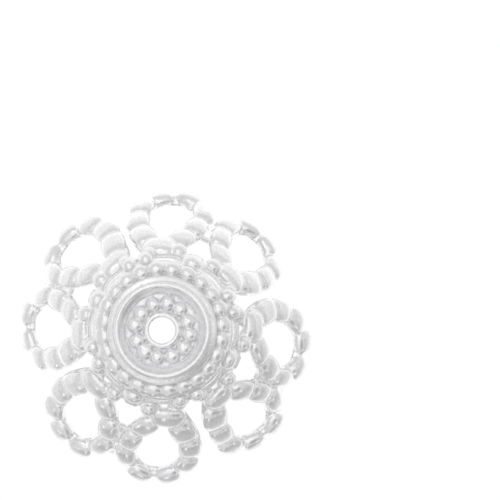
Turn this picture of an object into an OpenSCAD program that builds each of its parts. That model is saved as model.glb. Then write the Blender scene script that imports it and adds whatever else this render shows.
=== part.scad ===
// Filigree bead cap: a pierced and beaded bell of thin sheet with four petals.
// The mouth is down, the thread hole is at the top, and Z is the axis of the hole.
// A petal is laid out flat: u runs up the sheet from the notch between its loops
// to the cup, and v runs across it from the petal's middle line.

/* [Sheet] */
// Thickness of the sheet
sheet_t = 0.36; // [0.3:0.02:0.44]

/* [Top] */
// Radius of the thread hole
hole_r = 0.75; // [0.5:0.05:0.9]
// Outer radius of the lip around the hole
lip_r = 1.02; // [1:0.01:1.1]
// Height of the lip over the dish
lip_h = 0.16; // [0.1:0.02:0.24]
// Radius of the dish floor
dish_r = 2.05; // [2:0.01:2.1]
// Radius of the raised rim, at its inner edge
rim_r = 2.3; // [2.25:0.01:2.35]
// Width of the rim's flat crest
rim_w = 0.24; // [0.18:0.02:0.28]
// Height of the rim over the dish
rim_h = 0.4; // [0.3:0.02:0.44]
// Radius of the crease at the foot of the collar
crease_r = 2.88; // [2.84:0.01:2.92]
// Number of granules in the dish
granules = 12; // [10:1:12]
// Radius of the circle of granules
granule_ring_r = 1.52; // [1.5:0.01:1.56]
// Radius of a granule
granule_r = 0.36; // [0.3:0.01:0.37]

/* [Cup] */
// Radius of the cup at its base, where the petals bend out
cup_r = 4.0; // [3.9:0.05:4.1]
// Radius of the cup at its top
cup_top_r = 3.68; // [3.6:0.02:3.74]
// Height of the cup's wall
cup_h = 2.5; // [2.4:0.05:2.6]
// Number of beads in the ring at the shoulder
ring_beads = 24; // [20:1:24]
// Radius of the circle of ring beads
bead_ring_r = 3.3; // [3.26:0.01:3.34]
// Radius of a ring bead
ring_bead_r = 0.41; // [0.36:0.01:0.42]
// Width of an arched window in the wall
window_w = 1.36; // [1.2:0.02:1.4]
// Height of a window's straight sides over the bend
window_side_h = 1.2; // [1:0.05:1.3]

/* [Petals] */
// Length of a petal, from the bend to its tips
petal_l = 7.14; // [7:0.02:7.3]
// Flare from upright of the petal on +X
flare_a = 30; // [28:0.5:36]
// Flare from upright of the petal on +Y
flare_b = 33.5; // [28:0.5:38]
// Flare from upright of the petal on -X
flare_c = 38; // [28:0.5:40]
// Flare from upright of the petal on -Y
flare_d = 34.5; // [28:0.5:38]
// Width of the beaded strip around an opening
strip_w = 1.15; // [1.1:0.05:1.2]
// Radius of the round end of a teardrop opening
drop_r = 1.21; // [1.15:0.01:1.25]
// Radius of the narrow end of a teardrop opening
drop_tip_r = 0.26; // [0.2:0.02:0.3]
// How far the domes of the petals stand out of the sheet
dome_rise = 0.34; // [0.3:0.02:0.4]

/* [Hidden] */
$fn = 48;
metal = [0.86, 0.86, 0.87];

root_u = 6;
tip_u = root_u - petal_l;
flares = [flare_a, flare_b, flare_c, flare_d];
petals = len(flares);
petal_pitch = 360 / petals;
petal_span = petal_pitch + 6;
root_lap = 0.3;
root_proud = 0.03;

// The petal that hangs lowest sets the height of the bend over the table.
steepest = min(flares);
bend_z = petal_l * cos(steepest) + sheet_t * sin(steepest);
cup_top_z = bend_z + cup_h;
crease_z = cup_top_z + 0.36;
dish_z = cup_top_z + 0.55;
shoulder_r = cup_top_r - 0.1;
shoulder_z = cup_top_z + 0.13;
rim_z = dish_z + rim_h;

// The teardrop opening: the middles of its round and its narrow end, as [u, v].
drop_round = [1.07, 2.22];
drop_narrow = [3.66, 2.1];
diamond = [[2.52, 0], [4.17, 0.74], [5.95, 0], [4.17, -0.74]];
gap_top_u = 5.3;
notch_u = 0.05;
notch_v = 0.42;
window_foot = [-0.2, -0.5];
window_hip_h = 0.45;
past_edge = 0.4;
tip_clear = 0.06;
punch_depth = 1.7;
punch_clear = 0.6;
arc_steps = 16;

// Domes of half a petal: [u, v, radius]. The other half mirrors them.
petal_domes = [
    [4.62, 2.25, 0.6],
    [3.15, 3.28, 0.52],
    [1.76, 3.9, 0.52],
    [0.4, 3.87, 0.52],
    [-0.52, 3.05, 0.52],
    [-0.56, 1.62, 0.52],
    [0.64, 0.62, 0.52],
    [2.1, 0.6, 0.52],
    [3.55, 1.22, 0.52],
    [5.26, 1.04, 0.36],
    [5.5, 2.92, 0.4]
];
// Domes over each petal's middle line: [height over the bend, radius].
middle_domes = [[0.62, 0.56], [1.74, 0.5]];
// Domes of the two columns between petals: [height over the bend, radius].
column_domes = [[0.42, 0.36], [1.2, 0.36], [1.96, 0.36]];
column_turn = 5.6;
wall_lean = atan((cup_r - cup_top_r) / cup_h);

function arc(centre, r, from, to) = [
    for (i = [0:arc_steps])
        let (a = from + (to - from) * i / arc_steps)
            centre + r * [cos(a), sin(a)]
];

// Outline of a teardrop that stands off the opening by the given margin
function teardrop(margin) =
    let (
        line = drop_narrow - drop_round,
        heading = atan2(line.y, line.x),
        lean = acos((drop_r - drop_tip_r) / norm(line))
    )
    concat(
        arc(drop_round, drop_r + margin, heading + lean, heading + 360 - lean),
        arc(drop_narrow, drop_tip_r + margin, heading - lean, heading + lean)
    );

// Outer side of a loop, from its tip to the narrow end of the opening
function loop_side() =
    let (
        line = drop_narrow - drop_round,
        heading = atan2(line.y, line.x),
        lean = acos((drop_r - drop_tip_r) / norm(line)),
        tip_turn = acos((drop_round.x - tip_u + tip_clear) / (drop_r + strip_w))
    )
    concat(
        arc(drop_round, drop_r + strip_w, 180 - tip_turn, heading + lean),
        [drop_narrow + (drop_tip_r + strip_w) * [cos(heading + lean), sin(heading + lean)]]
    );

// Inner side of a loop, from its tip to the notch on the middle line
function loop_notch() =
    let (
        tip_turn = acos((drop_round.x - tip_u + tip_clear) / (drop_r + strip_w)),
        notch_turn = asin((drop_round.y - notch_v) / (drop_r + strip_w))
    )
    arc(drop_round, drop_r + strip_w, 180 + tip_turn, 180 + notch_turn);

function reach(u, flare) = cup_r + root_proud + (root_u - u) * sin(flare);
function level(u, flare) = bend_z - (root_u - u) * cos(flare);
function bearing(u, v, flare) = v / reach(u, flare) * 180 / PI;
function on_petal(p, flare) =
    let (r = reach(p[0], flare), a = bearing(p[0], p[1], flare))
    [r * cos(a), r * sin(a), level(p[0], flare)];

// A point as a punch sees it that stands square on the petal at the given turn:
// how far it is down the slope, and how far across
function from_punch(p, turn, flare) = [
    (p.x * cos(turn) + p.y * sin(turn)) * sin(flare) - p.z * cos(flare),
    p.y * cos(turn) - p.x * sin(turn)
];

function mirrored(outline) = [for (i = [len(outline) - 1:-1:0]) [outline[i][0], -outline[i][1]]];

module punch(outline, turn, flare) {
    face = (cup_r + root_proud) * cos(flare) + bend_z * sin(flare);
    rotate([0, 90 - flare, turn])
        translate([0, 0, face - punch_depth])
            linear_extrude(punch_depth + punch_clear)
                polygon([for (p = outline) from_punch(on_petal(p, flare), turn, flare)]);
}

// Half a ball that stands on its flat side
module dome(r) {
    rotate_extrude()
        intersection() {
            circle(r);
            square(r);
        }
}

// Sheet of one petal before it is pierced
module petal_blank(flare) {
    down = [sin(flare), -cos(flare)];
    out = [cos(flare), sin(flare)];
    root = [cup_r + root_proud, bend_z];
    rotate([0, 0, -petal_span / 2])
        rotate_extrude(angle = petal_span)
            polygon([
                root - root_lap * down,
                root + petal_l * down,
                root + petal_l * down - sheet_t * out,
                root - root_lap / 2 * down - sheet_t * out
            ]);
}

module petal(flare) {
    half_span_v = function(u) reach(u, flare) * (petal_span / 2 + 2) * PI / 180;
    seam_v = reach(gap_top_u, flare) * petal_pitch / 2 * PI / 180;
    side = loop_side();
    edge = concat(
        [[tip_u - past_edge, side[0][1]]],
        side,
        [[gap_top_u, seam_v], [gap_top_u, half_span_v(gap_top_u)]],
        [[tip_u - past_edge, half_span_v(tip_u)]]
    );
    half_notch = loop_notch();
    notch = concat(
        [[tip_u - past_edge, half_notch[0][1]]],
        half_notch,
        [[notch_u, 0]],
        mirrored(half_notch),
        [[tip_u - past_edge, -half_notch[0][1]]]
    );
    edge_turn = petal_pitch * 0.4;
    drop_turn = bearing(drop_round.x, drop_round.y, flare);
    difference() {
        petal_blank(flare);
        punch(notch, 0, flare);
        for (outline = [edge, mirrored(edge)])
            punch(outline, sign(outline[1][1]) * edge_turn, flare);
        for (outline = [teardrop(0), mirrored(teardrop(0))])
            punch(outline, sign(outline[0][1]) * drop_turn, flare);
    }
}

// Top and wall of the cup, from the hole out and back under
module cup() {
    rotate_extrude()
        polygon([
            [hole_r, dish_z + lip_h],
            [lip_r - 0.1, dish_z + lip_h],
            [lip_r, dish_z],
            [dish_r, dish_z],
            [rim_r, rim_z],
            [rim_r + rim_w, rim_z],
            [crease_r, crease_z],
            [shoulder_r, shoulder_z],
            [cup_top_r, cup_top_z],
            [cup_r, bend_z],
            [cup_r - sheet_t, bend_z - sheet_t / 3],
            [cup_top_r - sheet_t, cup_top_z - sheet_t / 3],
            [crease_r, crease_z - sheet_t],
            [rim_r + rim_w / 2, dish_z - sheet_t / 2],
            [dish_r, dish_z - sheet_t],
            [hole_r, dish_z - sheet_t]
        ]);
}

// An arched window on +X, open down to a point below the bend
module window(side) {
    half_w = window_w / 2;
    arch = arc([0, window_side_h], half_w, 0, 180);
    outline = concat(
        [[side * window_foot.x, window_foot.y], [half_w, window_hip_h]],
        arch,
        [[-half_w, window_hip_h]]
    );
    translate([cup_top_r - 3 * sheet_t, 0, bend_z])
        rotate([90, 0, 90])
            linear_extrude(5 * sheet_t)
                polygon(outline);
}

module petal_beading(flare) {
    for (d = petal_domes, side = [-1, 1])
        let (at = [d[0], side * d[1]], r = d[2])
            translate(on_petal(at, flare))
                rotate([0, 90 - flare, bearing(at[0], at[1], flare)])
                    translate([0, 0, dome_rise - r])
                        dome(r);
}

// A dome on the wall of the cup, at a height over the bend
module wall_dome(turn, h, r) {
    rotate([0, 0, turn])
        translate([cup_r - h * tan(wall_lean), 0, bend_z + h])
            rotate([0, 90 - wall_lean, 0])
                translate([0, 0, min(dome_rise - r, -0.06)])
                    dome(r);
}

module top_beading() {
    for (i = [0:granules - 1])
        rotate([0, 0, (i + 0.5) * 360 / granules])
            translate([granule_ring_r, 0, dish_z - 0.07])
                dome(granule_r);
    for (i = [0:ring_beads - 1])
        rotate([0, 0, i * 360 / ring_beads])
            translate([bead_ring_r, 0, shoulder_z + 0.02])
                rotate([0, 45, 0])
                    dome(ring_bead_r);
}

module bead_cap() {
    color(metal) {
        difference() {
            union() {
                cup();
                for (i = [0:petals - 1])
                    rotate([0, 0, i * petal_pitch]) petal(flares[i]);
            }
            for (i = [0:petals - 1])
                rotate([0, 0, i * petal_pitch]) {
                    punch(diamond, 0, flares[i]);
                    for (side = [-1, 1])
                        rotate([0, 0, side * petal_pitch / 4]) window(side);
                }
        }
        for (i = [0:petals - 1])
            rotate([0, 0, i * petal_pitch]) {
                petal_beading(flares[i]);
                for (d = middle_domes) wall_dome(0, d[0], d[1]);
                for (d = column_domes, side = [-1, 1])
                    wall_dome(petal_pitch / 2 + side * column_turn, d[0], d[1]);
            }
        top_beading();
    }
}

bead_cap();
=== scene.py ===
import math
import random
import bpy
import numpy as np
from mathutils import Matrix, Vector


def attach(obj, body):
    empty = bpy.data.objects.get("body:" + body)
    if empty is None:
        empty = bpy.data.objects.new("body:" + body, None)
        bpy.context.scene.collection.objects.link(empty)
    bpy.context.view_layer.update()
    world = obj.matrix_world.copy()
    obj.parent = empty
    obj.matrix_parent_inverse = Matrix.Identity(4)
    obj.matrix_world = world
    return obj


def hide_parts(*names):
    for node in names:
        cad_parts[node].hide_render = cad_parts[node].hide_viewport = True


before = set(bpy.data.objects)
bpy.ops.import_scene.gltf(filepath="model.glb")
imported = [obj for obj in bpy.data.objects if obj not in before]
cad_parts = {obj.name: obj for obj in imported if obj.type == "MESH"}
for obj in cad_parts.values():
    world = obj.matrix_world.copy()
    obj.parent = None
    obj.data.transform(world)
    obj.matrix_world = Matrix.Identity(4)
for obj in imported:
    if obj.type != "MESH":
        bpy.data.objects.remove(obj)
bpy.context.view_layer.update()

# Lengths are in millimetres, and the finished mesh is brought to metres once.
millimetre = 0.001

# The cap is one sheet. Each petal is laid out flat with its part of the cup's wall: u runs up
# the sheet, from the notch between the petal's loops to the bend at 6 and on up the wall,
# and v runs across from the petal's middle line.
sheet = {
    "thickness": 0.31,
    "edgeRound": 0.12,
    "backRound": 0.6,        # of that, along the inner edges
    "bendU": 6.0,
    "bendZ": 6.363,          # height of the bend over the table
    "bendHalf": 0.55,        # half the length of sheet that the bend takes up
    "petalLength": 7.14,
    "flares": [28.8, 33.5, 40.0, 36.0],   # degrees from upright, on +X +Y -X -Y
    "sways": [0.0, 0.56, 0.0, -0.56],     # how far the tips stand to one side
    "swayEase": 1.5,
    "cupRadius": 4.02,
    "cupTopRadius": 3.72,
    "cupHeight": 2.5,
    "wallLean": 0.5,         # degrees off upright
    "wallTurn": 57.0,        # how much more the wall leans at its top
    "wallBend": 1.7,         # and the height over the bend where that begins
    "wallEase": 1.5,
    "tableSpan": [-3.2, 7.8],     # distances down from the bend that the slope tables cover
    "tableSteps": 1101,
}
cupTopZ = sheet["bendZ"] + sheet["cupHeight"]
petals = range(len(sheet["flares"]))
quarterTurn = math.pi / 2


def slopeTable(flare):
    # radius, height and lean of the outer face, by the distance down from the bend
    down = np.linspace(*sheet["tableSpan"], sheet["tableSteps"])
    step = down[1] - down[0]
    high = np.clip((-down - sheet["wallBend"]) / (sheet["cupHeight"] - sheet["wallBend"]), 0, 1)
    wallLean = np.radians(sheet["wallLean"] + sheet["wallTurn"] * high ** sheet["wallEase"])
    t = np.clip((down + sheet["bendHalf"]) / (2 * sheet["bendHalf"]), 0, 1)
    lean = wallLean + (math.radians(flare) - wallLean) * t * t * (3 - 2 * t)
    radius = np.concatenate([[0], np.cumsum(np.sin(lean[:-1]) * step)])
    height = -np.concatenate([[0], np.cumsum(np.cos(lean[:-1]) * step)])
    radius += sheet["cupRadius"] - np.interp(0, down, radius)
    height += sheet["bendZ"] - np.interp(0, down, height)
    return down, radius, height, lean


slopes = [slopeTable(flare) for flare in sheet["flares"]]
print("slopes worked out for", len(slopes), "petals")


def onSheet(u, v, out, petal):
    # a point of the flat pattern, that far out from the outer face, and the normal there
    down, radius, height, lean = slopes[petal]
    s = sheet["bendU"] - np.asarray(u, float)
    r = np.interp(s, down, radius)
    z = np.interp(s, down, height)
    a = np.interp(s, down, lean)
    sway = sheet["sways"][petal] * (np.clip(s, 0, None) / sheet["petalLength"]) ** sheet["swayEase"]
    turn = (np.asarray(v, float) + sway) / r + petal * quarterTurn
    rr, zz = r + out * np.cos(a), z + out * np.sin(a)
    place = np.stack([rr * np.cos(turn), rr * np.sin(turn), zz], -1)
    normal = np.stack([np.cos(a) * np.cos(turn), np.cos(a) * np.sin(turn), np.sin(a)], -1)
    return place, normal


def smoothPath(points, closed, steps):
    # a smooth curve through flat points, round again to the first if it is closed
    p = np.asarray(points, float)
    n = len(p)
    spans = n if closed else n - 1
    path = []
    for i in range(spans):
        pick = [p[k % n] if closed else p[min(max(k, 0), n - 1)] for k in range(i - 1, i + 3)]
        for t in np.arange(steps) / steps:
            path.append(0.5 * (2 * pick[1] + (pick[2] - pick[0]) * t
                               + (2 * pick[0] - 5 * pick[1] + 4 * pick[2] - pick[3]) * t * t
                               + (3 * pick[1] - pick[0] - 3 * pick[2] + pick[3]) * t ** 3))
    if not closed:
        path.append(p[-1])
    return np.array(path)


class Solids:
    # gathers closed solids, each a row of rings, into one mesh
    def __init__(self):
        self.points, self.faces = [], []

    def add(self, rings, closed):
        start = sum(len(p) for p in self.points)
        count, around = rings.shape[:2]
        self.points.append(rings.reshape(-1, 3))
        for i in range(count if closed else count - 1):
            j = (i + 1) % count
            for k in range(around):
                m = (k + 1) % around
                self.faces.append([start + i * around + k, start + j * around + k,
                                   start + j * around + m, start + i * around + m])
        if not closed:
            last = start + (count - 1) * around
            self.faces.append([start + k for k in range(around)])
            self.faces.append([last + k for k in reversed(range(around))])

    def mesh(self, name):
        made = bpy.data.meshes.new(name)
        made.from_pydata(np.concatenate(self.points).tolist(), [], self.faces)
        made.update()
        return made


# The pattern of strips and domes. Domes are [u, v, size along the strip, size across].
pattern = {
    "loopDomes": [           # once round one loop of a petal
        [4.60, 2.24, 1.80, 1.46],
        [3.20, 3.36, 1.92, 1.44],
        [1.70, 4.02, 1.76, 1.40],
        [0.30, 4.06, 1.50, 1.34],
        [-0.60, 3.20, 1.48, 1.22],
        [-0.58, 1.68, 1.56, 1.16],
        [0.66, 0.64, 1.80, 1.22],
        [2.20, 0.69, 1.74, 1.26],
        [3.64, 1.13, 1.72, 1.28],
    ],
    # how far the tips of a petal's two loops stand off the even pattern, [u, v] for each,
    # and how far their roots move up
    "offs": [[[0.06, -0.20], [0.08, 0.12]], [[0.28, 0.20], [-0.17, 0.31]],
             [[0.13, 0.12], [0.16, 0.24]], [[-0.10, -0.25], [0.57, -0.33]]],
    "offFrom": 4.6,          # nothing moves at this u, and all of it this much lower
    "offOver": 5.2,
    "lifts": [[0.18, 0.40], [0.34, 0.20], [0.0, 0.0], [0.0, -0.06]],
    "liftFrom": 1.0,         # nothing moves at this u, and all of it this much higher
    "liftOver": 3.6,
    "jitter": 0.04,
    "seed": 11,
    "latticeDomes": [        # between a loop and the cup
        [5.22, 1.04, 1.02, 0.92],
        [5.76, 2.58, 0.90, 0.84],
    ],
    "columnDomes": [         # on the wall between two petals
        [6.42, 2.72, 0.80, 0.76],
        [7.20, 2.66, 0.80, 0.76],
        [7.96, 2.60, 0.80, 0.74],
    ],
    "middleDomes": [         # on the wall over a petal's middle line
        [6.62, 0.0, 1.16, 1.30],
        [7.74, 0.0, 1.06, 1.12],
    ],
    "loopWidth": 0.92,       # a loop's strip, as a part of its domes' width
    "pathSteps": 9,          # samples between two points of a path
    "latticeStrips": [
        [[4.45, 2.25], [5.12, 1.20], [5.70, 0.60], [6.40, 0.24], [7.20, 0.16], [8.30, 0.16]],
        [[4.45, 2.40], [5.45, 2.50], [6.30, 2.66], [7.20, 2.66], [8.30, 2.58]],
    ],
    "latticeWidth": 0.96,
    "sill": [[5.86, 0.90], [5.86, 1.60], [5.86, 2.60]],       # under a window
    "sillWidth": 0.50,
    # short webs on the middle line that close the ends of the diamond opening
    "webs": [[[0.30, 0.0], [0.90, 0.0], [1.70, 0.0], [2.40, 0.0], [2.95, 0.0]],
             [[5.02, 0.0], [5.90, 0.0], [6.80, 0.0]]],
    "webWidth": 0.86,
    "webSteps": 4,
}


def stripSection():
    # cross-section of a strip with eased corners: which side, inset from that edge, how far out
    deep, ease = sheet["thickness"], sheet["edgeRound"]
    back = ease * sheet["backRound"]
    return [[-1, ease, 0], [1, ease, 0], [1, 0, -ease], [1, 0, -deep + back],
            [1, back, -deep], [-1, back, -deep], [-1, 0, -deep + back], [-1, 0, -ease]]


def addStrip(solids, path, width, petal, closed):
    # the width is one number, or one for each point of the path
    if closed:
        along = np.gradient(np.concatenate([path[-2:], path, path[:2]]), axis=0)[2:-2]
    else:
        along = np.gradient(path, axis=0)
    along /= np.linalg.norm(along, axis=1)[:, None]
    side = np.stack([-along[:, 1], along[:, 0]], -1)
    half = np.broadcast_to(width, len(path))[:, None] / 2
    rings = []
    for hand, inset, out in stripSection():
        flat = path + side * hand * (half - inset)
        rings.append(onSheet(flat[:, 0], flat[:, 1], out, petal)[0])
    solids.add(np.stack(rings, 1), closed)


def addPetalStrips(solids, loops, petal):
    for side in (-1, 1):
        path = smoothPath(loops[petal, side], True, pattern["pathSteps"])
        addStrip(solids, path[:, :2], path[:, 3] * pattern["loopWidth"], petal, True)
        for strip in pattern["latticeStrips"]:
            path = smoothPath([[u, side * v] for u, v in strip], False, pattern["pathSteps"])
            addStrip(solids, path, pattern["latticeWidth"], petal, False)
        path = smoothPath([[u, side * v] for u, v in pattern["sill"]], False, pattern["webSteps"])
        addStrip(solids, path, pattern["sillWidth"], petal, False)
    for web in pattern["webs"]:
        addStrip(solids, smoothPath(web, False, pattern["webSteps"]), pattern["webWidth"], petal, False)


def layPetalDomes():
    # each dome's place, the way it faces, the way it points, and its length, width and height
    chance = random.Random(pattern["seed"])
    domes, balls, loops = [], [], {}
    ahead = 0.02             # a short step that shows which way a dome points

    def stand(kind, u, v, along, across, petal, heading):
        place, normal = onSheet(u, v, 0.0, petal)
        way = onSheet(u + ahead * heading[0], v + ahead * heading[1], 0.0, petal)[0] - place
        kind.append([place, normal, way / np.linalg.norm(way), along, across, 1.0])

    for petal in petals:
        for side in (-1, 1):
            rows = []
            hand = (side + 1) // 2
            off = pattern["offs"][petal][hand]
            for u, v, along, across in pattern["loopDomes"]:
                far = min(max((pattern["offFrom"] - u) / pattern["offOver"], 0), 1)
                near = min(max((u - pattern["liftFrom"]) / pattern["liftOver"], 0), 1)
                lift = pattern["lifts"][petal][hand] * near
                rows.append([u + lift + off[0] * far + chance.gauss(0, pattern["jitter"]),
                             side * (v + chance.gauss(0, pattern["jitter"])) + off[1] * far,
                             along, across])
            loops[petal, side] = np.array(rows)
            for i, (u, v, along, across) in enumerate(rows):
                before, after = rows[i - 1], rows[(i + 1) % len(rows)]
                heading = np.array([after[0] - before[0], after[1] - before[1]])
                stand(domes, u, v, along, across, petal, heading / np.linalg.norm(heading))
            for u, v, along, across in pattern["latticeDomes"] + pattern["columnDomes"]:
                stand(balls, u, side * v, along, across, petal, np.array([1.0, 0.0]))
        for u, v, along, across in pattern["middleDomes"]:
            stand(balls, u, v, along, across, petal, np.array([1.0, 0.0]))
    return domes, balls, loops


top = {
    "holeRadius": 0.71,
    "segments": 192,
    "dishRise": 0.55,        # of the dish over the top of the wall
    "lipRise": 0.15,         # of the lip and the rim over the dish
    "rimRise": 0.29,
    "granuleCount": 12,
    "granuleCircle": 1.48,
    "granuleSize": 0.78,
    "granuleHigh": 0.60,
    "granuleRise": 0.02,     # of their middles over the dish
    "ringCount": 24,
    "ringCircle": 3.38,
    "ringBead": 0.98,
    "ringDeep": 0.86,
    "ringHigh": 0.90,
    "ringRise": 0.22,        # over the top of the wall
    "ringTilt": 36,          # degrees outwards
    "ringWorn": 0.45,        # how much lower the beads are on the worn side
    "wornTurn": -172.0,
    "wornSpread": 1.6,
    "jitter": 0.025,
    "seed": 11,
}
dishZ = cupTopZ + top["dishRise"]


def topProfile():
    # the cap's top from the hole out over the rim to the wall, and back underneath
    t = sheet["thickness"]
    hole, wall = top["holeRadius"], sheet["cupTopRadius"]
    lip, rim = dishZ + top["lipRise"], dishZ + top["rimRise"]
    return [
        [hole, lip - 0.06], [hole + 0.06, lip], [0.90, lip], [0.98, lip - 0.05],             # lip
        [1.02, dishZ], [1.93, dishZ], [2.00, dishZ - 0.14], [2.06, dishZ + 0.02],            # dish
        [2.18, dishZ + 0.10], [2.35, rim - 0.12], [2.38, rim - 0.03], [2.42, rim],           # rim
        [2.57, rim], [2.61, rim - 0.05], [2.64, rim - 0.12],
        [2.70, rim - 0.14], [2.95, rim - 0.20], [3.00, rim - 0.29],                          # collar
        [3.05, cupTopZ + 0.40], [3.30, cupTopZ + 0.32], [wall - 0.08, cupTopZ + 0.12],       # shoulder
        [wall, cupTopZ - 0.04], [wall + 0.06, cupTopZ - 0.50],                               # wall
        [wall + 0.06 - t, cupTopZ - 0.50], [wall - t, cupTopZ - 0.20],                       # inside
        [3.10, cupTopZ - 0.10], [2.84, cupTopZ + 0.02], [2.42, dishZ - 0.12],
        [2.20, dishZ - t + 0.04], [2.05, dishZ - t], [hole + 0.04, dishZ - t],
        [hole, dishZ - t + 0.04],
    ]


def addTop(solids):
    turns = np.arange(top["segments"]) / top["segments"] * 2 * math.pi
    rings = [[[r * math.cos(a), r * math.sin(a), z] for r, z in reversed(topProfile())]
             for a in turns]
    solids.add(np.array(rings), True)


def layTopDomes():
    # the granules in the dish, and the beads on the shoulder
    up = np.array([0.0, 0.0, 1.0])
    balls = []
    chance = random.Random(top["seed"])
    for i in range(top["granuleCount"]):
        a = math.radians((i + 0.5) * 360 / top["granuleCount"]) + chance.gauss(0, top["jitter"])
        out = np.array([math.cos(a), math.sin(a), 0.0])
        size = top["granuleSize"] * (1 + chance.gauss(0, top["jitter"]))
        place = out * (top["granuleCircle"] + chance.gauss(0, top["jitter"])) \
            + up * (dishZ + top["granuleRise"])
        balls.append([place, up, out, size, size, top["granuleHigh"]])
    tilt = math.radians(top["ringTilt"])
    for i in range(top["ringCount"]):
        a = math.radians(i * 360 / top["ringCount"])
        out = np.array([math.cos(a), math.sin(a), 0.0])
        normal = out * math.sin(tilt) + up * math.cos(tilt)
        place = out * top["ringCircle"] + up * (cupTopZ + top["ringRise"])
        worn = 0.5 + 0.5 * math.cos(a - math.radians(top["wornTurn"]))
        high = top["ringHigh"] * (1 - top["ringWorn"] * min(1, top["wornSpread"] * worn))
        balls.append([place, normal, np.cross(up, out), top["ringBead"], top["ringDeep"], high])
    return balls


window = {
    "pitch": 45,             # degrees from one window to the next
    "turn": 22.5,            # degrees from a petal's middle line
    "halfTurn": 10.2,
    "archTop": 1.78,         # over the bend
    "archDrop": 0.62,
    "pierDrop": 0.25,        # how much lower the band reaches between the windows
    "bandTop": 2.25,
    "segments": 288,
    "petal": 1,              # the one whose wall the band follows
}


def addArchedBand(solids):
    # the plain band over the windows, whose lower edge makes their arches
    down, radius, height, lean = slopes[window["petal"]]
    rings = []
    for i in range(window["segments"]):
        turn = 360 * i / window["segments"]
        off = (turn % window["pitch"]) - window["turn"]
        x = min(abs(off) / window["halfTurn"], 1)
        low = window["archTop"] - window["archDrop"] * (1 - math.sqrt(max(0, 1 - x * x)))
        if abs(off) >= window["halfTurn"]:
            low -= window["pierDrop"]
        a = math.radians(turn)
        ring = []
        for out, high in ((0, low), (0, window["bandTop"]), (-sheet["thickness"], window["bandTop"]),
                          (-sheet["thickness"], low)):
            r = float(np.interp(-high, down, radius)) + out
            z = float(np.interp(-high, down, height))
            ring.append([r * math.cos(a), r * math.sin(a), z])
        rings.append(ring)
    solids.add(np.array(rings)[:, ::-1], True)


def feed(tree, socket, given):
    # an input takes a value of its own, or another node's output
    if isinstance(given, bpy.types.NodeSocket):
        tree.links.new(given, socket)
    else:
        socket.default_value = given


def addNode(tree, kind, output, inputs, **settings):
    # a node with its settings and inputs filled in, of which one output is used
    node = tree.nodes.new(kind)
    for name, value in settings.items():
        setattr(node, name, value)
    for name, given in inputs.items():
        feed(tree, node.inputs[name], given)
    return node.outputs[output]


def maths(tree, operation, *given):
    return addNode(tree, "ShaderNodeMath", 0, dict(enumerate(given)), operation=operation)


def vectorMaths(tree, operation, output, *given):
    return addNode(tree, "ShaderNodeVectorMath", output, dict(enumerate(given)), operation=operation)


beading = {
    "rise": 0.42,            # millimetres that a dome of height 1 stands over the sheet
    "uneven": 0.04,
    "square": 0.74,          # under 1, the domes on the petals are a little square
    "detail": 4,
    "seed": 5,
}


def beadingTree(material):
    # stands one dome on every point, turned and sized by the point's own attributes
    tree = bpy.data.node_groups.new("beading", "GeometryNodeTree")
    face = tree.interface
    face.new_socket("Geometry", in_out="INPUT", socket_type="NodeSocketGeometry")
    for name, kind in (("Rise", "NodeSocketFloat"), ("Uneven", "NodeSocketFloat"),
                       ("Square", "NodeSocketFloat"), ("Detail", "NodeSocketInt"),
                       ("Seed", "NodeSocketInt")):
        made = face.new_socket(name, in_out="INPUT", socket_type=kind)
        made.default_value = beading[name.lower()]
    face.new_socket("Geometry", in_out="OUTPUT", socket_type="NodeSocketGeometry")
    start = tree.nodes.new("NodeGroupInput").outputs
    end = tree.nodes.new("NodeGroupOutput").inputs

    def attribute(name):
        return addNode(tree, "GeometryNodeInputNamedAttribute", "Attribute", {"Name": name},
                       data_type="FLOAT_VECTOR")

    # a ball of diameter 1, so that a dome's size is its scale
    ball = addNode(tree, "GeometryNodeMeshIcoSphere", "Mesh",
                   {"Radius": 0.5, "Subdivisions": start["Detail"]})
    # x and y, brought to the range from -1 to 1, are raised to a power under 1
    split = tree.nodes.new("ShaderNodeSeparateXYZ")
    feed(tree, split.inputs[0], addNode(tree, "GeometryNodeInputPosition", "Position", {}))
    swollen = {"Z": split.outputs["Z"]}
    for axis in "XY":
        size = maths(tree, "ABSOLUTE", maths(tree, "MULTIPLY", split.outputs[axis], 2.0))
        power = maths(tree, "POWER", size, start["Square"])
        signed = maths(tree, "MULTIPLY", power, maths(tree, "SIGN", split.outputs[axis]))
        swollen[axis] = maths(tree, "MULTIPLY", signed, 0.5)
    dome = addNode(tree, "GeometryNodeSetPosition", "Geometry", {
        "Geometry": ball,
        "Position": addNode(tree, "ShaderNodeCombineXYZ", "Vector", swollen)})
    turn = addNode(tree, "FunctionNodeAxesToRotation", "Rotation",
                   {"Primary Axis": attribute("outward"), "Secondary Axis": attribute("ahead")},
                   primary_axis="Z", secondary_axis="X")
    uneven = addNode(tree, "FunctionNodeRandomValue", "Value", {
        "Min": maths(tree, "SUBTRACT", 1.0, start["Uneven"]),
        "Max": maths(tree, "ADD", 1.0, start["Uneven"]),
        "Seed": start["Seed"]}, data_type="FLOAT_VECTOR")
    rise = addNode(tree, "ShaderNodeCombineXYZ", "Vector", {
        "X": 1.0, "Y": 1.0, "Z": maths(tree, "MULTIPLY", start["Rise"], 2.0)})
    size = vectorMaths(tree, "MULTIPLY", "Vector", attribute("size"), uneven)
    placed = addNode(tree, "GeometryNodeInstanceOnPoints", "Instances", {
        "Points": start["Geometry"], "Instance": dome, "Rotation": turn,
        "Scale": vectorMaths(tree, "MULTIPLY", "Vector", size, rise)})
    real = addNode(tree, "GeometryNodeRealizeInstances", "Geometry", {"Geometry": placed})
    feed(tree, end["Geometry"], addNode(tree, "GeometryNodeSetMaterial", "Geometry",
                                        {"Geometry": real, "Material": material}))
    return tree


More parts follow.
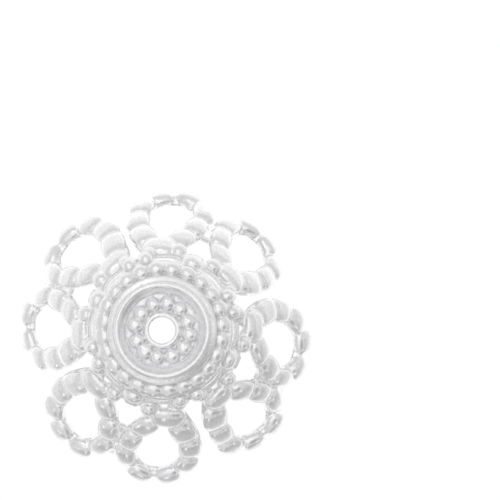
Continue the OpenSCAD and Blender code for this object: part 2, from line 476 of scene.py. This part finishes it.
def plainMesh(thing, name):
    # the object as its modifiers leave it, as a mesh of its own
    bpy.context.view_layer.update()
    graph = bpy.context.evaluated_depsgraph_get()
    made = bpy.data.meshes.new_from_object(thing.evaluated_get(graph), depsgraph=graph)
    made.name = name
    return made


def newObject(name, data):
    thing = bpy.data.objects.new(name, data)
    bpy.context.scene.collection.objects.link(thing)
    return thing


def makeBeading(domes, square, tree, name):
    mesh = bpy.data.meshes.new(name)
    mesh.from_pydata([list(map(float, d[0])) for d in domes], [], [])
    for label, rows in (("outward", [d[1] for d in domes]), ("ahead", [d[2] for d in domes]),
                        ("size", [d[3:] for d in domes])):
        field = mesh.attributes.new(label, "FLOAT_VECTOR", "POINT")
        field.data.foreach_set("vector", np.array(rows, "f").ravel())
    holder = newObject(name, mesh)
    modifier = holder.modifiers.new("beading", "NODES")
    modifier.node_group = tree
    for item in tree.interface.items_tree:
        if item.name == "Square":
            modifier[item.identifier] = square
    made = plainMesh(holder, name)
    bpy.data.objects.remove(holder)
    print(name, "stood on", len(domes), "points")
    return made


fusing = {
    "voxel": 0.068,
    "smoothing": 0.5,
    "passes": 2,
    "keep": 0.472,           # part of the faces that stays
}


def fuse(sources, name):
    # melts the strips, the top and the domes into one closed body
    joined = newObject("joined", sources[0])
    parts = [joined] + [newObject("source", mesh) for mesh in sources[1:]]
    with bpy.context.temp_override(active_object=joined, object=joined,
                                   selected_editable_objects=parts, selected_objects=parts):
        bpy.ops.object.join()
    body = newObject("body", joined.data.copy())
    melt = body.modifiers.new("melt", "REMESH")
    melt.mode = "VOXEL"
    melt.voxel_size = fusing["voxel"]
    melt.adaptivity = 0.0
    hug = body.modifiers.new("hug", "SHRINKWRAP")
    hug.target = joined
    hug.wrap_method = "NEAREST_SURFACEPOINT"
    ease = body.modifiers.new("ease", "SMOOTH")
    ease.factor = fusing["smoothing"]
    ease.iterations = fusing["passes"]
    thin = body.modifiers.new("thin", "DECIMATE")
    thin.ratio = fusing["keep"]
    made = plainMesh(body, name)
    bpy.data.objects.remove(body)
    bpy.data.objects.remove(joined)
    return made


silver = {
    "colour": (0.96, 0.96, 0.965, 1),
    "shadeAndGrainColour": (0.54, 0.54, 0.555, 1),
    "creaseHighlightColour": (1.0, 1.0, 1.0, 1),
    "cloudColour": (0.89, 0.89, 0.90, 1),
    "roughness": 0.23,
    "roughSpread": 0.12,
    "hollowRough": 0.16,
    "hollowShade": 0.50,
    "cloudSize": 900.0,      # patches to the metre
    "cloudDetail": 3.0,
    "grainSize": 7200.0,
    "grainDetail": 2.0,
    "grainSpan": [0.34, 0.66],
    "grainShade": 0.24,
    "pitSize": 3400.0,
    "pitReach": 0.45,        # how wide a pit is, as a part of the space between two
    "pitDepth": 0.45,        # against the grain's
    "bumpHeight": 0.0000060, # metres
    "hollowSpread": 7,       # passes that set how wide a hollow still counts
    "hollowDepth": 0.045,
    "creaseSpread": 5,
    "creaseDepth": 0.014,
    "creaseFrom": 4.05,      # the creases of the petals get a painted highlight, from this radius out
    "creaseOver": 0.25,
}


def tumbledGroup():
    # the marks that tumbling leaves: cloudy patches, a fine grain and small pits
    tree = bpy.data.node_groups.new("tumbled", "ShaderNodeTree")
    face = tree.interface
    face.new_socket("Place", in_out="INPUT", socket_type="NodeSocketVector")
    for name, value in (("Cloud Scale", silver["cloudSize"]), ("Grain Scale", silver["grainSize"]),
                        ("Pit Scale", silver["pitSize"])):
        face.new_socket(name, in_out="INPUT", socket_type="NodeSocketFloat").default_value = value
    for name in ("Cloud", "Grain", "Height"):
        face.new_socket(name, in_out="OUTPUT", socket_type="NodeSocketFloat")
    start = tree.nodes.new("NodeGroupInput").outputs
    end = tree.nodes.new("NodeGroupOutput").inputs

    def noise(scale, detail):
        return addNode(tree, "ShaderNodeTexNoise", "Fac", {
            "Vector": start["Place"], "Scale": start[scale], "Detail": detail})

    cloud = noise("Cloud Scale", silver["cloudDetail"])
    grain = noise("Grain Scale", silver["grainDetail"])
    low, high = silver["grainSpan"]
    spread = addNode(tree, "ShaderNodeMapRange", "Result", {
        "Value": grain, "From Min": low, "From Max": high})
    pits = addNode(tree, "ShaderNodeTexVoronoi", "Distance", {
        "Vector": start["Place"], "Scale": start["Pit Scale"]})
    dent = addNode(tree, "ShaderNodeMapRange", "Result", {
        "Value": pits, "From Max": silver["pitReach"]})
    feed(tree, end["Cloud"], cloud)
    feed(tree, end["Grain"], spread)
    feed(tree, end["Height"], maths(tree, "MULTIPLY_ADD", dent, silver["pitDepth"], grain))
    return tree


def makeSilver():
    material = bpy.data.materials.new("silverPlate")
    material.use_nodes = True
    tree = material.node_tree
    shader = tree.nodes["Principled BSDF"].inputs
    shader["Metallic"].default_value = 1.0
    marks = tree.nodes.new("ShaderNodeGroup")
    marks.node_tree = tumbledGroup()
    feed(tree, marks.inputs["Place"], addNode(tree, "ShaderNodeTexCoord", "Object", {}))
    cloud, grain = marks.outputs["Cloud"], marks.outputs["Grain"]
    hollow, crease = [addNode(tree, "ShaderNodeAttribute", "Fac", {}, attribute_name=name)
                      for name in ("hollow", "crease")]

    def mixed(factor, first, second):
        return addNode(tree, "ShaderNodeMix", "Result",
                       {"Factor": factor, "A": first, "B": second}, data_type="RGBA")

    colour = mixed(cloud, silver["colour"], silver["cloudColour"])
    # painted shade: the hollows and creases of the top and the cup are mixed towards a darker grey
    shade = maths(tree, "MULTIPLY", hollow, silver["hollowShade"])
    colour = mixed(shade, colour, silver["shadeAndGrainColour"])
    shade = maths(tree, "MULTIPLY", grain, silver["grainShade"])
    colour = mixed(shade, colour, silver["shadeAndGrainColour"])
    # painted highlight: the creases of the petals are mixed towards white
    feed(tree, shader["Base Color"], mixed(crease, colour, silver["creaseHighlightColour"]))
    rough = maths(tree, "MULTIPLY_ADD", cloud, silver["roughSpread"],
                  silver["roughness"] - silver["roughSpread"] / 2)
    feed(tree, shader["Roughness"], maths(tree, "MULTIPLY_ADD", hollow, silver["hollowRough"], rough))
    feed(tree, shader["Normal"], addNode(tree, "ShaderNodeBump", "Normal", {
        "Strength": 1.0, "Distance": silver["bumpHeight"], "Height": marks.outputs["Height"]}))
    return material


def addHollows(mesh):
    # how deep each point lies in a hollow or a crease, from 0 to 1, for the material's painted shade in
    # the hollows and painted highlight in the creases
    count = len(mesh.vertices)
    place, normal = np.empty(count * 3, "f"), np.empty(count * 3, "f")
    mesh.vertices.foreach_get("co", place)
    mesh.vertices.foreach_get("normal", normal)
    place, normal = place.reshape(-1, 3), normal.reshape(-1, 3)
    edges = np.empty(len(mesh.edges) * 2, np.int32)
    mesh.edges.foreach_get("vertices", edges)
    a, b = edges.reshape(-1, 2).T
    near = np.bincount(np.concatenate([a, b]), minlength=count)[:, None]
    soft = place.astype(float)
    depths = []              # how far the even surface lies over the point, pass by pass
    for i in range(max(silver["hollowSpread"], silver["creaseSpread"])):
        total = np.stack([np.bincount(a, soft[b, k], count) + np.bincount(b, soft[a, k], count)
                          for k in range(3)], -1)
        soft = total / near
        depths.append(((soft - place) * normal).sum(1))
    reach = np.hypot(place[:, 0], place[:, 1]) - silver["creaseFrom"]
    outside = np.clip(reach / silver["creaseOver"], 0, 1)
    hollow = depths[silver["hollowSpread"] - 1] / silver["hollowDepth"]
    crease = depths[silver["creaseSpread"] - 1] / silver["creaseDepth"]
    for name, value in (("hollow", np.clip(hollow, 0, 1) * (1 - outside)),
                        ("crease", np.clip(crease, 0, 1) * outside)):
        field = mesh.attributes.new(name, "FLOAT", "POINT")
        field.data.foreach_set("value", value.astype("f"))


def makeCap():
    domes, balls, loops = layPetalDomes()
    balls += layTopDomes()
    solids = Solids()
    for petal in petals:
        addPetalStrips(solids, loops, petal)
    addTop(solids)
    addArchedBand(solids)
    print("sheet laid out", len(solids.points), "solids")
    material = makeSilver()
    tree = beadingTree(material)
    mesh = fuse([solids.mesh("sheetSolids"), makeBeading(domes, beading["square"], tree, "domes"),
                 makeBeading(balls, 1.0, tree, "balls")], "beadCap")
    addHollows(mesh)
    mesh.materials.clear()
    mesh.materials.append(material)
    mesh.transform(Matrix.Scale(millimetre, 4))
    mesh.update()
    cap = newObject("beadCap", mesh)
    for face in mesh.polygons:
        face.use_smooth = True
    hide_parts("bead_cap")
    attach(cap, "root")
    print("cap made", len(mesh.vertices), "vertices", sum(len(f.vertices) - 2 for f in mesh.polygons))


view = {
    "imageTurn": 65.75,      # where the +X petal points in the picture, degrees
    "lean": 1.6,             # how far the camera leans off the cap's axis
    "leanTowards": 30.0,     # the way it leans, in the picture
    "distance": 700.0,
    "pixelsPerMm": 18.1,
    "capAt": (167.4, 326.9),     # pixel where the cap's axis meets the table
    "picture": 500,
    "sensor": 36,
    "clip": (0.01, 10),      # metres
}


def pictureAxes():
    turn = math.radians(view["imageTurn"])
    return Vector((math.cos(turn), -math.sin(turn), 0)), Vector((math.sin(turn), math.cos(turn), 0))


def wayTo(turn, height):
    # a direction, by its angle in the picture and its height over the table, in degrees
    right, up = pictureAxes()
    way, high = math.radians(turn), math.radians(height)
    return (right * math.cos(way) + up * math.sin(way)) * math.cos(high) \
        + Vector((0, 0, math.sin(high)))


def makeCamera():
    right, up = pictureAxes()
    back = wayTo(view["leanTowards"], 90 - view["lean"])
    half = view["picture"] / 2
    aim = right * (half - view["capAt"][0]) / view["pixelsPerMm"] \
        + up * (view["capAt"][1] - half) / view["pixelsPerMm"]
    data = bpy.data.cameras.new("camera")
    data.sensor_width = view["sensor"]
    data.lens = view["sensor"] * view["distance"] / (view["picture"] / view["pixelsPerMm"])
    data.clip_start, data.clip_end = view["clip"]
    camera = newObject("camera", data)
    side = up.cross(back).normalized()
    over = back.cross(side)
    camera.matrix_world = Matrix.Translation((aim + back * view["distance"]) * millimetre) \
        @ Matrix((side, over, back)).transposed().to_4x4()
    bpy.context.scene.camera = camera
    print("camera set")


key = {
    "turn": 118.0,           # the way the light comes from, in the picture, degrees
    "height": 54.0,          # and over the table
    "power": 0.027,
    "size": 0.18,            # metres, as the distance is
    "distance": 0.4,
}


def makeKeyLight():
    way = wayTo(key["turn"], key["height"])
    data = bpy.data.lights.new("key", "AREA")
    data.shape = "DISK"
    data.size = key["size"]
    data.energy = key["power"]
    light = newObject("key", data)
    light.location = way * key["distance"]
    light.rotation_euler = way.to_track_quat("Z", "Y").to_euler()
    print("key light made")


def blend(tree, value, span, first, second):
    # goes smoothly from the first to the second while the value crosses the span
    share = addNode(tree, "ShaderNodeMapRange", "Result", {
        "Value": value, "From Min": span[0], "From Max": span[1]}, interpolation_type="SMOOTHSTEP")
    return addNode(tree, "ShaderNodeMix", "Result",
                   {"Factor": share, "A": first, "B": second}, data_type="FLOAT")


def facing(tree, place, way):
    # how far a place or a direction lies along that way
    return vectorMaths(tree, "DOT_PRODUCT", "Value", place, way)


# The light tent round the table, which the metal reflects. A span says how far a direction
# points the way named, from -1 to 1, or up, where 1 is straight up.
tent = {
    "wallBright": 0.88,      # low walls towards the key light
    "wallDark": 0.62,        # and away from it
    "wallSpan": [-0.8, 0.8],
    "roof": 0.755,
    "roofSpan": [0.02, 0.35],
    "gapFrom": -76.0,        # the tent's open side, dark between the walls
    "gapTone": 0.43,
    "gapTop": 0.32,          # how high it reaches
    "gapSpan": [0.35, 0.92],
    "zenith": 1.05,
    "zenithSpan": [0.66, 0.97],
    "hoodAt": [-42.0, 45.0],      # a dark hood at the near side of the roof
    "hoodTone": 0.44,
    "hoodSpan": [0.88, 0.985],
    "lamps": [[-134.0, 8.0], [-96.0, 5.0], [-40.0, 10.0]],   # small ones, low on the near side
    "lampTone": 1.7,
    "lampWidth": 5.0,        # degrees from the middle to the edge
    "lampEdge": 0.004,       # how soft the edge is
}


def makeTent():
    world = bpy.data.worlds.new("tent")
    world.use_nodes = True
    bpy.context.scene.world = world
    tree = world.node_tree
    where = addNode(tree, "ShaderNodeTexCoord", "Generated", {})
    height = facing(tree, where, Vector((0, 0, 1)))
    tone = blend(tree, facing(tree, where, wayTo(key["turn"], 0)), tent["wallSpan"],
                 tent["wallDark"], tent["wallBright"])
    tone = blend(tree, height, tent["roofSpan"], tone, tent["roof"])
    gap = blend(tree, height, [0.0, tent["gapTop"]], tent["gapTone"], tone)
    tone = blend(tree, facing(tree, where, wayTo(tent["gapFrom"], 0)), tent["gapSpan"], tone, gap)
    tone = blend(tree, height, tent["zenithSpan"], tone, tent["zenith"])
    hood = facing(tree, where, wayTo(*tent["hoodAt"]))
    tone = blend(tree, hood, tent["hoodSpan"], tone, tent["hoodTone"])
    edge = math.cos(math.radians(tent["lampWidth"]))
    for turn, high in tent["lamps"]:
        lamp = facing(tree, where, wayTo(turn, high))
        tone = blend(tree, lamp, [edge - tent["lampEdge"], edge + tent["lampEdge"]],
                     tone, tent["lampTone"])
    feed(tree, tree.nodes["Background"].inputs["Color"], tone)
    print("tent made")


# The paper glows by itself, and the camera sees it over-exposed. For the metal its glow carries painted
# light and shade: brighter towards the light's side, a painted shadow by the tent's open side, and a
# painted pool of light close round the cap. A span is in metres, along the way named or out from the
# cap's axis.
paper = {
    "size": 0.6,
    "albedo": 0.30,
    "seen": 1.02,            # its strength for the camera
    "turn": 108.0,           # the way its painted light gets brighter, in the picture
    "dark": 0.44,
    "bright": 0.72,
    "span": [-0.016, 0.016],
    "far": 0.71,             # far off, where it meets the walls
    "farSpan": [0.014, 0.045],
    "shadow": 0.31,          # a painted shadow, by the tent's open side
    "shadowSpan": [0.012, 0.018],
    "nearShaded": 0.86,      # a painted pool of light close to the cap, away from the light
    "nearLit": 0.91,         # and towards it
    "nearSpan": [-0.007, 0.007],
    "nearEdge": [0.0095, 0.0150],
}


def makePaper():
    bpy.ops.mesh.primitive_plane_add(size=paper["size"])
    floor = bpy.context.object
    floor.name = "floor"
    material = bpy.data.materials.new("paper")
    material.use_nodes = True
    tree = material.node_tree
    tree.nodes.remove(tree.nodes["Principled BSDF"])
    place = addNode(tree, "ShaderNodeNewGeometry", "Position", {})
    away = vectorMaths(tree, "LENGTH", "Value", place)
    along = facing(tree, place, wayTo(paper["turn"], 0))
    # painted light and shade in the paper's glow: brighter towards the light, a painted shadow by the
    # tent's open side, a painted pool of light round the cap
    tone = blend(tree, along, paper["span"], paper["dark"], paper["bright"])
    tone = blend(tree, away, paper["farSpan"], tone, paper["far"])
    shade = facing(tree, place, wayTo(tent["gapFrom"], 0))
    tone = blend(tree, shade, paper["shadowSpan"], tone, paper["shadow"])
    near = blend(tree, along, paper["nearSpan"], paper["nearShaded"], paper["nearLit"])
    tone = blend(tree, away, paper["nearEdge"], near, tone)
    matt = addNode(tree, "ShaderNodeBsdfDiffuse", "BSDF", {"Color": [paper["albedo"]] * 3 + [1]})
    glow = addNode(tree, "ShaderNodeEmission", "Emission", {"Strength": tone})
    seen = addNode(tree, "ShaderNodeEmission", "Emission", {"Strength": paper["seen"]})
    lit = addNode(tree, "ShaderNodeAddShader", "Shader", {0: matt, 1: glow})
    direct = addNode(tree, "ShaderNodeLightPath", "Is Camera Ray", {})
    feed(tree, tree.nodes["Material Output"].inputs["Surface"],
         addNode(tree, "ShaderNodeMixShader", "Shader", {"Fac": direct, 1: lit, 2: seen}))
    floor.data.materials.append(material)
    print("paper laid")


makeCap()
makeCamera()
makePaper()
makeTent()
makeKeyLight()
bpy.context.scene.view_settings.view_transform = "Standard"
print("stage made")
